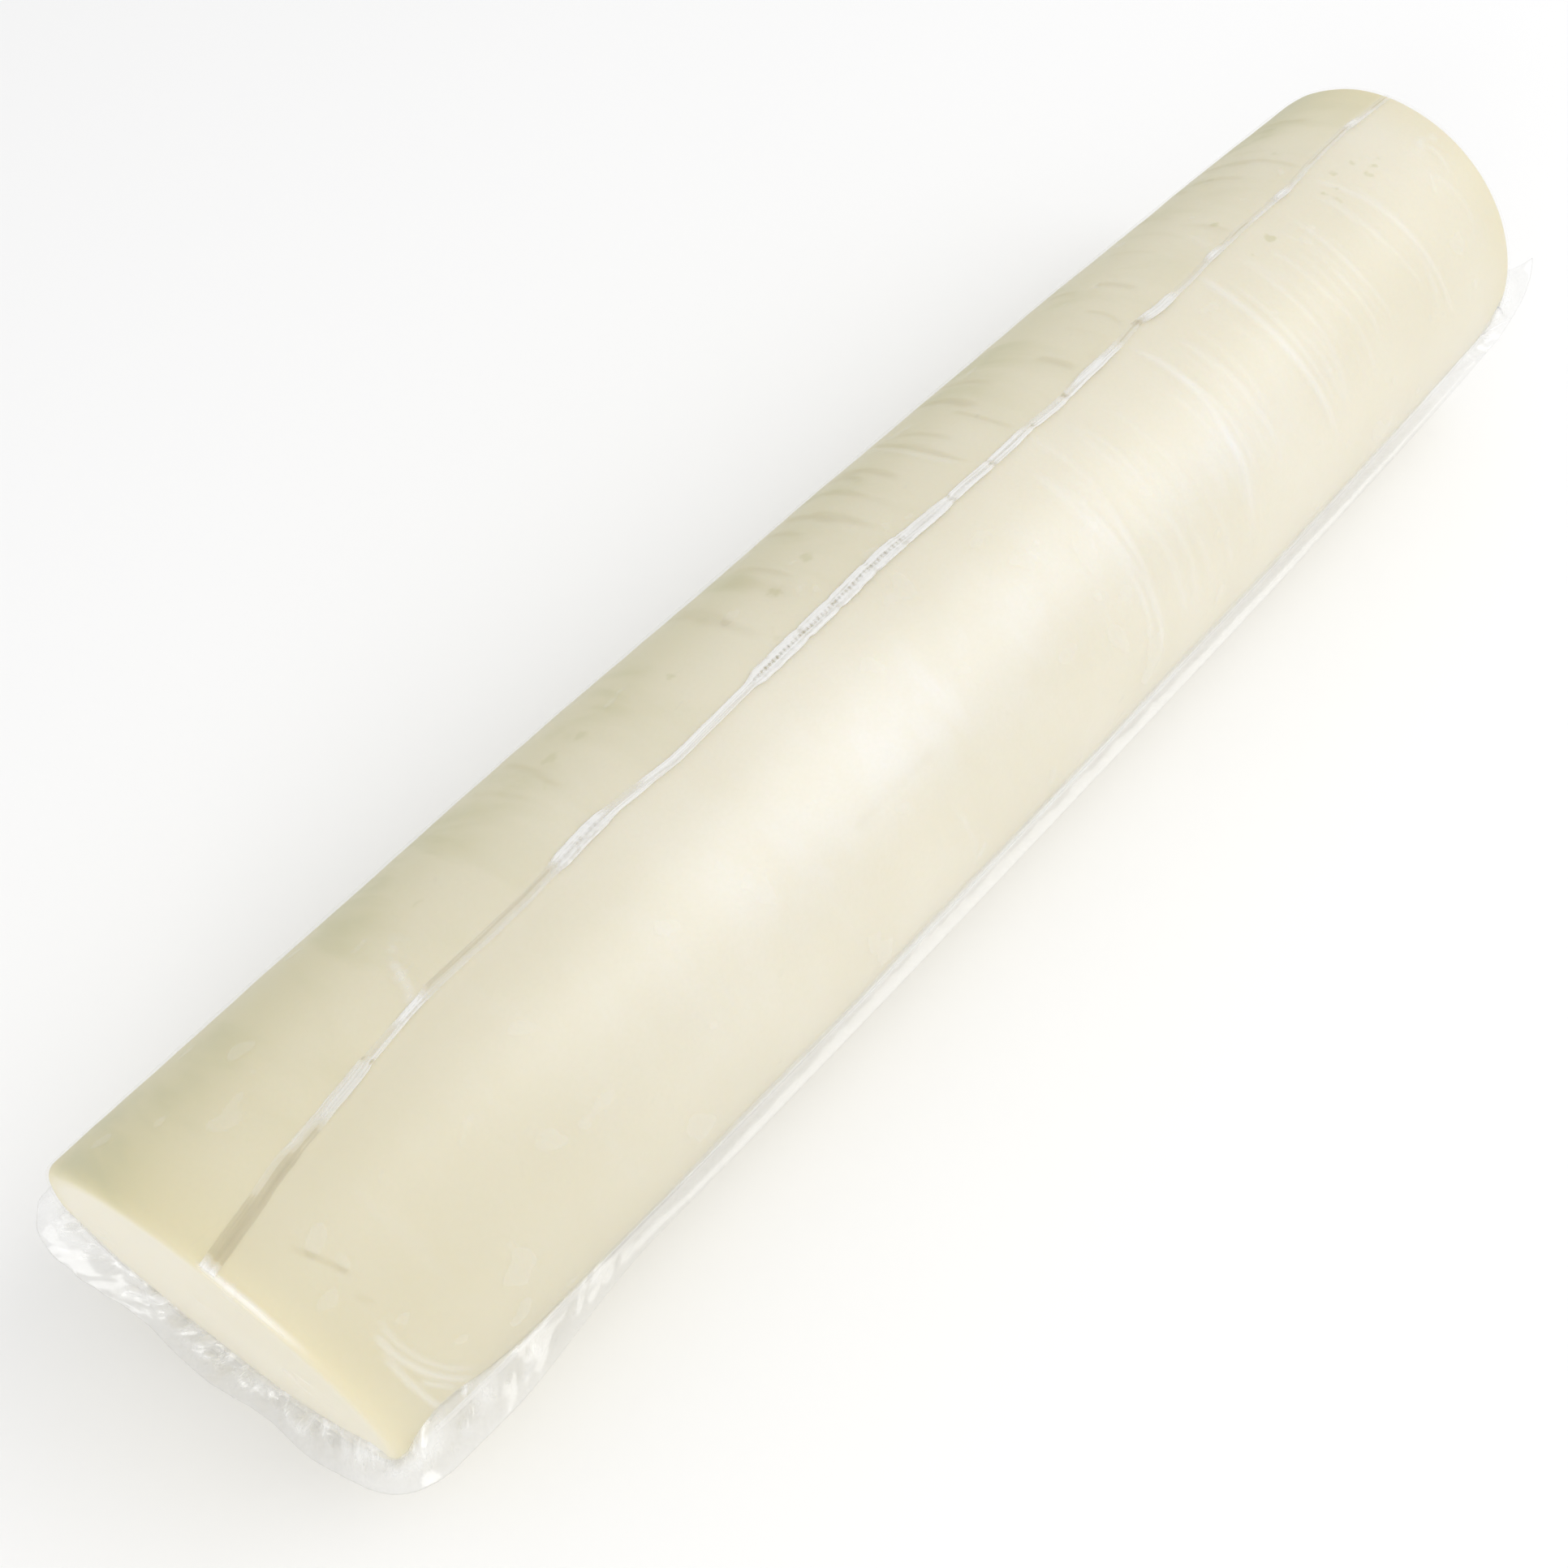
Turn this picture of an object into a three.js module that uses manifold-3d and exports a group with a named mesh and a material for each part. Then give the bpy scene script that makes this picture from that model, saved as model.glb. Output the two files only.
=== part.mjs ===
// A wrapped provolone log: a long, slightly barrelled cheese in a tight clear pouch.
// The pouch has a crimped seam along its top, a narrow sealed edge along both sides, a drooping
// skirt of spare film at each end, and a few folds where the film is drawn round the cheese.
// Units are millimetres and +Z is up. The log lies along X, with its near end at -X and its right
// side at -Y. Every shape is worked out about the middle of the log's axis, and the finished solid
// is then moved so that the origin is at the bottom centre of its box.

import * as THREE from 'three';
import { ParametricGeometry } from 'three/addons/geometries/ParametricGeometry.js';
import { mergeVertices } from 'three/addons/utils/BufferGeometryUtils.js';
import Module from 'manifold-3d';

// The cheese log. Its section is a lying oval, fullest in the middle of the length, and each end
// face is cut a little askew.
const LOG_LENGTH = 521;
const END_WIDTH = 108.7;
const HEIGHT_TO_WIDTH = 0.92;
const BARREL = 0.067;
const BARREL_POWER = 2.65;
const SIDE_BOW = -0.3;
const FAR_STRETCH = 1.8;
const LOWER_LEFT = 0.09;
const NEAR_SKEW = -0.119;
const FAR_SKEW = 0.12;
const SKEW_REACH = 60;
const RIM_RADIUS = 3;
const FLAT_DEPTH = 1.2;

// The top seam, a folded strip that wanders about the crest. Each pair is a place along the log
// and the seam's angle there, in degrees from the crest towards the right side.
const SEAM_ROUTE = [
  [-257, 12.6], [-233, 6.9], [-205, 2.8], [-180, -0.4], [-132, -2.4], [-98, -1.3], [-62, -2.9],
  [-25, -4.3], [6, -4], [54, -4.2], [80, -4.3], [110, -6.3], [165, -7.3], [206, -9], [257, -9.4],
];
const SEAM_WIDTH = 4.6;
const SEAM_HEIGHT = 1.1;
const SEAM_CRUMPLE = 0.3;
const SEAM_CRUMPLE_PITCH = 21;

// The pouch's sealed edge. It stands out a little along the sides, widens at three corners, hangs
// off both ends as a skirt, and sticks up as a pointed ear at the far right corner.
const EDGE_THICKNESS = 1.6;
const EDGE_ROOT = 5;
const EDGE_DROP = 10;
const SIDE_EDGE = 3.8;
const CORNER_EDGE = 9;
const CORNER_START = 175;
const CORNER_END = 235;
const END_SKIRT = 7.6;
const SKIRT_CORNER = 8;
const SOFT_CORNER = 15;
const SKIRT_SAG = 28;
const SKIRT_WAVE = 0.8;
const WAVE_PITCH = 34;
const EAR_INSET = 6;
const EAR_LENGTH = 15;
const EAR_RISE = 22;
const EAR_SPREAD = 12.5;
const CORNER_SLUMP = 4.5;
const CORNER_REACH = 2;

// Folds in the film, drawn hoop-wise round the log: the place along it, the first and last angle,
// and how far along the log the fold's last end trails.
const FOLDS = [
  [140, -2, 67, -2], [99, 11, 68, -6], [54, 5, 78, -10], [205, -6, 70, 9],
  [181, 4, 52, 3], [77, 8, 60, -6], [-246, 50, 86, 12], [-243, 26, 40, 7],
];
const FOLD_WIDTH = 3;
const FOLD_HEIGHT = 0.6;

// How finely each surface is faceted.
const STEPS_ALONG = 40;
const STEPS_ROUND = 48;
const STEPS_ON_FACE = 3;
const STEPS_ON_RIM = 3;
const EDGE_STEPS = 180;
const SEAM_STEPS = 100;
const FOLD_STEPS = 16;

// A ridge's foot lies this far under the skin that it stands on.
const RIDGE_FOOT = 1;

const HALF_LENGTH = LOG_LENGTH / 2;
const HALF_WIDTH = END_WIDTH / 2;
const HALF_HEIGHT = HALF_WIDTH * HEIGHT_TO_WIDTH;
const AXIS_HEIGHT = HALF_HEIGHT * (1 + BARREL) - FLAT_DEPTH;

const { smoothstep, degToRad } = THREE.MathUtils;
const wrappedCheese = new THREE.MeshStandardMaterial({ color: '#ebe3c8', roughness: 0.3, metalness: 0 });

function shareOfHalf(x) {
  return Math.min(Math.abs(x) / HALF_LENGTH, 1);
}

function fullness(x) {
  return 1 + BARREL * (1 - shareOfHalf(x) ** BARREL_POWER);
}

function sideBow(x) {
  return -SIDE_BOW * (1 - shareOfHalf(x) ** 2);
}

// The last stretch before each end face is sheared, so that the rings there lie along the face.
function skewAt(x) {
  const towardsEnd = smoothstep(Math.abs(x), HALF_LENGTH - SKEW_REACH, HALF_LENGTH);
  return towardsEnd * (x < 0 ? NEAR_SKEW : FAR_SKEW);
}

// The far half is a little longer than the near one.
function stretchAt(x) {
  return FAR_STRETCH * smoothstep(x, 100, 255);
}

// The near end has settled a little towards its lower left.
function lowerLeft(x, angle) {
  const degrees = THREE.MathUtils.euclideanModulo(THREE.MathUtils.radToDeg(angle) + 270, 360) - 270;
  return LOWER_LEFT * Math.exp(-(((degrees + 112) / 24) ** 2)) * (1 - smoothstep(x, -250, -120));
}

// A point of the log, at x along it and an angle from the crest. At a radius share of 1 it is on
// the skin, and at 0 on the axis.
function onLog(x, angle, radiusShare, target) {
  const radius = fullness(x) * radiusShare * (1 + lowerLeft(x, angle));
  const y = -HALF_WIDTH * radius * Math.sin(angle) + sideBow(x);
  const z = HALF_HEIGHT * radius * Math.cos(angle);
  return target.set(x + stretchAt(x) + skewAt(x) * y, y, z);
}

// The stations of the log, each [x, radius share], from the middle of the near face round its rim,
// along the side and on to the middle of the far face.
function logStations() {
  const end = [];
  const faceShare = 1 - RIM_RADIUS / HALF_WIDTH;
  for (let i = 0; i < STEPS_ON_FACE; i += 1) {
    end.push([HALF_LENGTH, (faceShare * i) / STEPS_ON_FACE]);
  }
  for (let i = 0; i <= STEPS_ON_RIM; i += 1) {
    const turn = ((i / STEPS_ON_RIM) * Math.PI) / 2;
    end.push([
      HALF_LENGTH - RIM_RADIUS * (1 - Math.cos(turn)),
      faceShare + (1 - faceShare) * Math.sin(turn),
    ]);
  }
  const side = [];
  const sideHalf = HALF_LENGTH - RIM_RADIUS;
  for (let i = 1; i < STEPS_ALONG; i += 1) {
    side.push([-sideHalf + (2 * sideHalf * i) / STEPS_ALONG, 1]);
  }
  const nearEnd = end.map(([x, share]) => [-x, share]);
  return [...nearEnd, ...side, ...end.reverse()];
}

function log() {
  const stations = logStations();
  const last = stations.length - 1;
  const surface = (u, v, target) => {
    const [x, share] = stations[Math.round(u * last)];
    onLog(x, -v * 2 * Math.PI, share, target);
  };
  return new ParametricGeometry(surface, last, STEPS_ROUND);
}

// The sealed edge, seen from above: a rectangle with rounded corners, the near right one rounder
// than the rest. It is later swollen and skewed as the log is.
function edgePlan() {
  const straightX = HALF_LENGTH + END_SKIRT - SKIRT_CORNER;
  const straightY = HALF_WIDTH - SKIRT_CORNER;
  const softX = HALF_LENGTH + END_SKIRT - SOFT_CORNER;
  const softY = HALF_WIDTH - SOFT_CORNER;
  const plan = new THREE.Shape();
  plan.moveTo(-softX, -HALF_WIDTH);
  plan.absarc(straightX, -straightY, SKIRT_CORNER, -Math.PI / 2, 0);
  plan.absarc(straightX, straightY, SKIRT_CORNER, 0, Math.PI / 2);
  plan.absarc(-straightX, straightY, SKIRT_CORNER, Math.PI / 2, Math.PI);
  plan.absarc(-softX, -softY, SOFT_CORNER, Math.PI, (3 * Math.PI) / 2);
  return plan.getSpacedPoints(EDGE_STEPS);
}

// The edge widens towards every corner but the far right one, which has the ear.
function edgeWidth(x, y) {
  const spreads = x < 0 || y > 0;
  const towardsCorner = spreads ? smoothstep(Math.abs(x), CORNER_START, CORNER_END) : 0;
  return SIDE_EDGE + (CORNER_EDGE - SIDE_EDGE) * towardsCorner + CORNER_REACH * slumpAt({ x, y });
}

// The near left corner of the edge hangs lower than the rest and reaches a little further.
function slumpAt(plan) {
  return Math.exp(-(((plan.x + 262) / 26) ** 2) - ((plan.y - 46) / 22) ** 2);
}

// A point of the sealed edge: out is 0 at its root inside the log and 1 at its free edge.
function onEdge(plan, out, lift, target) {
  const acrossShare = plan.y / HALF_WIDTH;
  const rootX = (plan.x * (HALF_LENGTH - EDGE_ROOT)) / (HALF_LENGTH + END_SKIRT);
  const x = THREE.MathUtils.lerp(rootX, plan.x, out);
  const width = HALF_WIDTH * fullness(x) + THREE.MathUtils.lerp(-EDGE_ROOT, edgeWidth(plan.x, plan.y), out);
  const y = acrossShare * width + sideBow(x);
  const onSkirt = smoothstep(Math.abs(plan.x), HALF_LENGTH - SKIRT_CORNER, HALF_LENGTH + END_SKIRT) * out;
  const wave = SKIRT_WAVE * onSkirt * Math.sin((plan.y / WAVE_PITCH) * 2 * Math.PI);
  const sag = SKIRT_SAG * (1 - acrossShare * acrossShare);
  const earDistance = Math.hypot(plan.x - HALF_LENGTH - END_SKIRT, plan.y + HALF_WIDTH - EAR_INSET);
  const ear = Math.max(0, 1 - earDistance / EAR_SPREAD) * out;
  const reach = Math.sign(x) * wave + EAR_LENGTH * ear;
  const z = -EDGE_DROP - sag - CORNER_SLUMP * slumpAt(plan) + wave + EAR_RISE * ear + lift;
  return target.set(x + skewAt(x) * y + reach, y, z);
}

function sealedEdge() {
  const plan = edgePlan();
  const halfThickness = EDGE_THICKNESS / 2;
  const section = [[0, -halfThickness], [1, -halfThickness], [1, halfThickness], [0, halfThickness]];
  const surface = (u, v, target) => {
    const point = plan[Math.round(u * EDGE_STEPS) % EDGE_STEPS];
    const [out, lift] = section[Math.round(v * section.length) % section.length];
    onEdge(point, out, lift, target);
  };
  return new ParametricGeometry(surface, EDGE_STEPS, section.length);
}

// A low ridge along a route on the skin, pointed at both ends. The route and the size are functions
// of the share of the way along.
function ridge(route, width, height, steps) {
  const section = [[0.5, 0], [0.38, 0.75], [0, 1], [-0.38, 0.75], [-0.5, 0]];
  const before = new THREE.Vector3();
  const after = new THREE.Vector3();
  const normal = new THREE.Vector3();
  const nudge = 0.001;
  const surface = (u, v, target) => {
    const [x, angle] = route(u);
    onLog(...route(Math.max(u - nudge, 0)), 1, before);
    onLog(...route(Math.min(u + nudge, 1)), 1, after);
    normal.set(0, -Math.sin(angle) / HALF_WIDTH, Math.cos(angle) / HALF_HEIGHT).normalize();
    const along = after.sub(before).normalize();
    const across = along.cross(normal).normalize();
    const [side, rise] = section[Math.round(v * section.length) % section.length];
    const taper = Math.round(u * steps) % steps === 0 ? 0 : Math.min(1, 6 * Math.min(u, 1 - u));
    onLog(x, angle, 1, target);
    target.addScaledVector(across, side * width(u) * taper);
    target.addScaledVector(normal, rise * (height(u) + RIDGE_FOOT) * taper - RIDGE_FOOT);
  };
  return new ParametricGeometry(surface, steps, section.length);
}

function topSeam() {
  const points = SEAM_ROUTE.map(([x, degrees]) => new THREE.Vector3(x, degToRad(degrees), 0));
  const curve = new THREE.CatmullRomCurve3(points);
  const route = (u) => {
    const point = curve.getPoint(u);
    return [point.x, point.y];
  };
  const crumple = (u) => 1 + SEAM_CRUMPLE * Math.sin((u * LOG_LENGTH * 2 * Math.PI) / SEAM_CRUMPLE_PITCH);
  return ridge(route, (u) => SEAM_WIDTH * crumple(u), (u) => SEAM_HEIGHT * crumple(u + 0.01), SEAM_STEPS);
}

function filmFold([place, firstAngle, lastAngle, trail]) {
  const route = (u) => [place + trail * u * u, degToRad(THREE.MathUtils.lerp(firstAngle, lastAngle, u))];
  return ridge(route, () => FOLD_WIDTH, () => FOLD_HEIGHT, FOLD_STEPS);
}

// Solids for joining and cutting, made from three.js geometries with their shared corners merged.
const wasm = await Module();
wasm.setup();

function toSolid(geometry) {
  geometry.deleteAttribute('normal');
  geometry.deleteAttribute('uv');
  const merged = mergeVertices(geometry);
  const vertProperties = new Float32Array(merged.attributes.position.array);
  const triVerts = new Uint32Array(merged.index.array);
  return new wasm.Manifold(new wasm.Mesh({ numProp: 3, vertProperties, triVerts }));
}

function toGeometry(solid) {
  const { vertProperties, triVerts } = solid.getMesh();
  const geometry = new THREE.BufferGeometry();
  geometry.setAttribute('position', new THREE.BufferAttribute(vertProperties, 3));
  geometry.setIndex(new THREE.BufferAttribute(triVerts, 1));
  geometry.computeVertexNormals();
  return geometry;
}

// The flat that the log rests on is cut by a block with its top at the table.
function tableBlock() {
  const depth = 20;
  const block = new THREE.BoxGeometry(LOG_LENGTH, END_WIDTH, depth);
  block.translate(0, 0, -AXIS_HEIGHT - depth / 2);
  return block;
}

let pack = toSolid(log());
for (const piece of [sealedEdge(), topSeam(), ...FOLDS.map(filmFold)]) {
  pack = pack.add(toSolid(piece));
}
pack = pack.subtract(toSolid(tableBlock()));

const shape = toGeometry(pack);
shape.computeBoundingBox();
const middle = shape.boundingBox.getCenter(new THREE.Vector3());

const wrapped = new THREE.Mesh(shape, wrappedCheese);
wrapped.name = 'wrapped_provolone';
wrapped.position.set(-middle.x, -middle.y, AXIS_HEIGHT);

const group = new THREE.Group();
group.add(wrapped);

export default group;
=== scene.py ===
# %% [markdown]
# # A provolone log in its clear pouch
# A whole provolone for the deli counter: a long pale log, slightly fuller in the middle, drawn tight
# into a clear pouch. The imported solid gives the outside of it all. Here the solid is replaced by the
# cheese itself and by the film round it, so that light can pass through the one and be caught by
# the other.

import math

import bmesh
import bpy
import numpy as np
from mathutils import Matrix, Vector, noise


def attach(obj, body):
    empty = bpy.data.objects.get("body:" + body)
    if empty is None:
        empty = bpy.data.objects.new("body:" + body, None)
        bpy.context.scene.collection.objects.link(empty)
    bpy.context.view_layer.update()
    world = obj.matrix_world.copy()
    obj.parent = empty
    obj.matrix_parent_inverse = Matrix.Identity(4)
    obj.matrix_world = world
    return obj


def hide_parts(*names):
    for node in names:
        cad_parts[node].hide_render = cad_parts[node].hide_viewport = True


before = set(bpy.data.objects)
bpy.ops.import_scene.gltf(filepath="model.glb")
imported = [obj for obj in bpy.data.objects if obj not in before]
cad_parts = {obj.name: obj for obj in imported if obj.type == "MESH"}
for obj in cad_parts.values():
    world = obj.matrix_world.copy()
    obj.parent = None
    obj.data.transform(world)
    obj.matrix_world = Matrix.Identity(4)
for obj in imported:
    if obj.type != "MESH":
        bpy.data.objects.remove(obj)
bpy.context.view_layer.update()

# %% [markdown]
# ## The log's shape
# The real log is moulded, so its shape is regular: a lying oval section, a barrelled side and two
# ends cut slightly askew. Every piece below, cheese or film, is placed by the same function, so
# they fit each other to a tenth of a millimetre. Sizes are in millimetres and become metres last.

# %% Sizes of the log
MM = 0.001
LOG_LENGTH = 521.0
END_WIDTH = 108.7
HEIGHT_TO_WIDTH = 0.92
BARREL = 0.067
BARREL_POWER = 2.65
SIDE_BOW = -0.3
FAR_STRETCH = 1.8
FAR_STRETCH_SPAN = (100, 255)
LOWER_LEFT = 0.09
LOWER_LEFT_SPAN = (-250, -120)
LOWER_LEFT_TURN, LOWER_LEFT_SPREAD = -112, 24
NEAR_SKEW = -0.119
FAR_SKEW = 0.12
SKEW_REACH = 60.0
RIM_RADIUS = 3.0
HALF_LENGTH = LOG_LENGTH / 2
HALF_WIDTH = END_WIDTH / 2
HALF_HEIGHT = HALF_WIDTH * HEIGHT_TO_WIDTH
AXIS_AT = np.array([0.068, -1.200, 52.152])
SKIN_RADIUS = 56.0
print("log", LOG_LENGTH, "mm long,", round(2 * HALF_WIDTH * (1 + BARREL), 1), "mm across the middle")


# %% Points on the log
def smooth(value, low, high):
    share = np.clip((value - low) / (high - low), 0.0, 1.0)
    return share * share * (3.0 - 2.0 * share)


def hill(gap, width):
    """A smooth hill: 1 where the gap is 0, and 0.37 where it equals the width."""
    return np.exp(-((gap / width) ** 2))


def share_of_half(x):
    return np.minimum(np.abs(x) / HALF_LENGTH, 1.0)


def fullness(x):
    return 1.0 + BARREL * (1.0 - share_of_half(x) ** BARREL_POWER)


def side_bow(x):
    return -SIDE_BOW * (1.0 - share_of_half(x) ** 2)


def skew_at(x):
    towards_end = smooth(np.abs(x), HALF_LENGTH - SKEW_REACH, HALF_LENGTH)
    return towards_end * np.where(x < 0, NEAR_SKEW, FAR_SKEW)


def lower_left(x, angle):
    """The near end has settled a little towards its lower left."""
    turn = np.degrees(angle)
    turn = np.where(turn > 90, turn - 360, turn)
    return LOWER_LEFT * hill(turn - LOWER_LEFT_TURN, LOWER_LEFT_SPREAD) * (1 - smooth(x, *LOWER_LEFT_SPAN))


def to_frame(x, y, z):
    """Millimetres about the log's axis, with the ends' skew put in, to metres in the frame."""
    skewed = x + FAR_STRETCH * smooth(x, *FAR_STRETCH_SPAN) + skew_at(x) * y
    return (np.stack([skewed, y, z], -1) + AXIS_AT) * MM


def on_log(x, angle, share=1.0, proud=0.0):
    """A point at x along the log and an angle in radians from the crest to the right side."""
    radius = fullness(x) * share * (1 + lower_left(x, angle))
    y = -(HALF_WIDTH * radius + proud) * np.sin(angle) + side_bow(x)
    z = (HALF_HEIGHT * radius + proud) * np.cos(angle)
    return to_frame(x, y, z)


print("crest at the middle:", np.round(on_log(np.array([0.0]), np.array([0.0])), 4))

# %% [markdown]
# ## Helpers for making meshes
# A log is a lathe shape, so both the cheese and its wrap start as a profile that is spun round the
# X axis. The spun points are then moved from the plain lathe shape to the true one. That keeps the
# mesh in tidy rings, which is what the folds of the film need later.


# %% Lathe and finishing helpers
def points_of(mesh):
    flat = np.empty(len(mesh.vertices) * 3)
    mesh.vertices.foreach_get("co", flat)
    return flat.reshape(-1, 3)


def put_points(mesh, points):
    mesh.vertices.foreach_set("co", np.asarray(points, dtype=np.float64).ravel())
    mesh.update()


def mark(mesh, name, values):
    layer = mesh.attributes.new(name, "FLOAT", "POINT")
    layer.data.foreach_set("value", np.asarray(values, dtype=np.float32))


def lathe(name, profile, steps):
    """Spins (x, radius) pairs round the X axis and closes the two poles."""
    bm = bmesh.new()
    made = [bm.verts.new((x, 0.0, radius)) for x, radius in profile]
    edges = [bm.edges.new(pair) for pair in zip(made, made[1:])]
    bmesh.ops.spin(
        bm, geom=made + edges, cent=(0, 0, 0), axis=(1, 0, 0), dvec=(0, 0, 0),
        angle=2 * math.pi, steps=steps, use_merge=True, use_duplicate=False,
    )
    bmesh.ops.remove_doubles(bm, verts=bm.verts, dist=1e-5)
    bmesh.ops.recalc_face_normals(bm, faces=bm.faces)
    mesh = bpy.data.meshes.new(name)
    bm.to_mesh(mesh)
    bm.free()
    return mesh


def grid(name, x_steps, y_steps, size):
    """A flat square grid, for a strip or a floor."""
    bm = bmesh.new()
    bmesh.ops.create_grid(bm, x_segments=x_steps, y_segments=y_steps, size=size)
    mesh = bpy.data.meshes.new(name)
    bm.to_mesh(mesh)
    bm.free()
    return mesh


def polar(points):
    """Lathe points as x, radius and the angle from the crest to the right side."""
    x, y, z = points.T
    return x, np.hypot(y, z), np.arctan2(-y, z)


def finish_piece(name, mesh, material):
    """Makes the mesh an object that shows in the scene and rides on the log's body."""
    piece = bpy.data.objects.new(name, mesh)
    bpy.context.scene.collection.objects.link(piece)
    mesh.materials.append(material)
    mesh.polygons.foreach_set("use_smooth", [True] * len(mesh.polygons))
    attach(piece, "root")
    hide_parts("wrapped_provolone")
    triangles = sum(len(face.vertices) - 2 for face in mesh.polygons)
    print(name, len(mesh.vertices), "points,", triangles, "triangles")
    return piece


def make_film_thick(piece, thickness, offset):
    wall = piece.modifiers.new("film thickness", "SOLIDIFY")
    wall.thickness = thickness * MM
    wall.offset = offset


def unevenness(points, scale, seed):
    """Smooth noise from -1 to 1 at each point, with bumps about scale millimetres across."""
    shift = Vector((seed * 17.3, seed * 5.1, seed * 9.7))
    return np.array([noise.noise(Vector(p) / (scale * MM) + shift) for p in points])


# %% [markdown]
# ## Materials
# The cheese is a pale, slightly translucent cream with faint mottling and small damp spots. Painted
# shade makes it yellower towards its ends, darker towards the near end and olive in streaks down its
# left side, away from the light. The tight film is nearly invisible: it adds gloss, and painted
# highlights and shade along its folds. Its soft haze, with the light's painted sheen, is given to the
# cheese under it, because haze has no edge and no shape of its own. The loose film is the same stuff,
# doubled and crumpled, with painted glints, and the seam's film is folded and whiter, partly by painted
# highlight. Film could be made of glass, but a thin sheet bends no light, so a see-through shader with
# gloss is both truer and quicker. Where each tone goes is an attribute on the mesh, from -1 for brown,
# partly painted shade, to 1 for white, partly painted highlight.


# %% Node helpers
def new_material(name):
    material = bpy.data.materials.new(name)
    material.use_nodes = True
    tree = material.node_tree
    return material, tree, tree.nodes["Principled BSDF"]


def add_node(tree, kind, settings=None, **inputs):
    node = tree.nodes.new(kind)
    for key, value in (settings or {}).items():
        setattr(node, key, value)
    for key, value in inputs.items():
        socket = node.inputs[key.replace("_", " ")]
        if isinstance(value, bpy.types.NodeSocket):
            tree.links.new(value, socket)
        else:
            socket.default_value = value
    return node


def attribute(tree, name):
    return add_node(tree, "ShaderNodeAttribute", {"attribute_name": name}).outputs["Fac"]


def math_node(tree, operation, first, second=0.0, third=0.0, clamp=False):
    node = tree.nodes.new("ShaderNodeMath")
    node.operation = operation
    node.use_clamp = clamp
    for socket, value in zip(node.inputs, (first, second, third)):
        if isinstance(value, bpy.types.NodeSocket):
            tree.links.new(value, socket)
        else:
            socket.default_value = value
    return node.outputs[0]


def remap(tree, value, low, high, to_low=0.0, to_high=1.0):
    node = add_node(tree, "ShaderNodeMapRange", {"clamp": True, "interpolation_type": "SMOOTHSTEP"})
    tree.links.new(value, node.inputs["Value"])
    for key, number in zip(("From Min", "From Max", "To Min", "To Max"), (low, high, to_low, to_high)):
        node.inputs[key].default_value = number
    return node.outputs["Result"]


def mix_colour(tree, factor, first, second):
    node = tree.nodes.new("ShaderNodeMix")
    node.data_type = "RGBA"
    sockets = (node.inputs[0], node.inputs[6], node.inputs[7])
    for socket, value in zip(sockets, (factor, first, second)):
        if isinstance(value, bpy.types.NodeSocket):
            tree.links.new(value, socket)
        else:
            socket.default_value = value
    return node.outputs[2]


def clear_film(tree, film, cover, head_on, edge_on):
    """Lets the film be seen through, but for its gloss and for the share that cover hides."""
    facing = add_node(tree, "ShaderNodeLayerWeight", Blend=0.5).outputs["Facing"]
    gloss = math_node(tree, "MULTIPLY_ADD", math_node(tree, "POWER", facing, 4.0), edge_on, third=head_on)
    alpha = math_node(tree, "ADD", cover, gloss, clamp=True)
    tree.links.new(alpha, film.inputs["Alpha"])
    tree.links.new(math_node(tree, "DIVIDE", gloss, alpha, clamp=True), film.inputs["Metallic"])


def grain(tree, scale, detail=3.0, stretch=(1.0, 1.0, 1.0), roughness=0.5, distortion=0.0):
    """Noise on object coordinates: scale is in bumps per metre, stretch squeezes it by axis."""
    where = add_node(tree, "ShaderNodeTexCoord").outputs["Object"]
    mapping = add_node(tree, "ShaderNodeMapping", Vector=where, Scale=stretch)
    return add_node(
        tree, "ShaderNodeTexNoise", Vector=mapping.outputs[0], Scale=scale, Detail=detail,
        Roughness=roughness, Distortion=distortion,
    ).outputs["Fac"]


# %% The cheese
CREAM = (0.765, 0.714, 0.560, 1.0)
PALE_CREAM = (0.800, 0.752, 0.610, 1.0)
# Painted shade: yellower and darker, for the ends and the left side.
SHADE_YELLOW = (0.750, 0.666, 0.400, 1.0)
# Olive: painted shade down the left side, and the cheese's own damp spots and speckle.
OLIVE_SHADE_AND_DAMP = (0.600, 0.569, 0.355, 1.0)
# Painted shade: darker cream towards the near end.
SHADED_CREAM = (0.610, 0.562, 0.395, 1.0)
# White of the haze, and of the painted sheen, fold highlights and rim glint.
HAZE_AND_SHEEN_WHITE = (0.865, 0.872, 0.900, 1.0)


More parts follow.
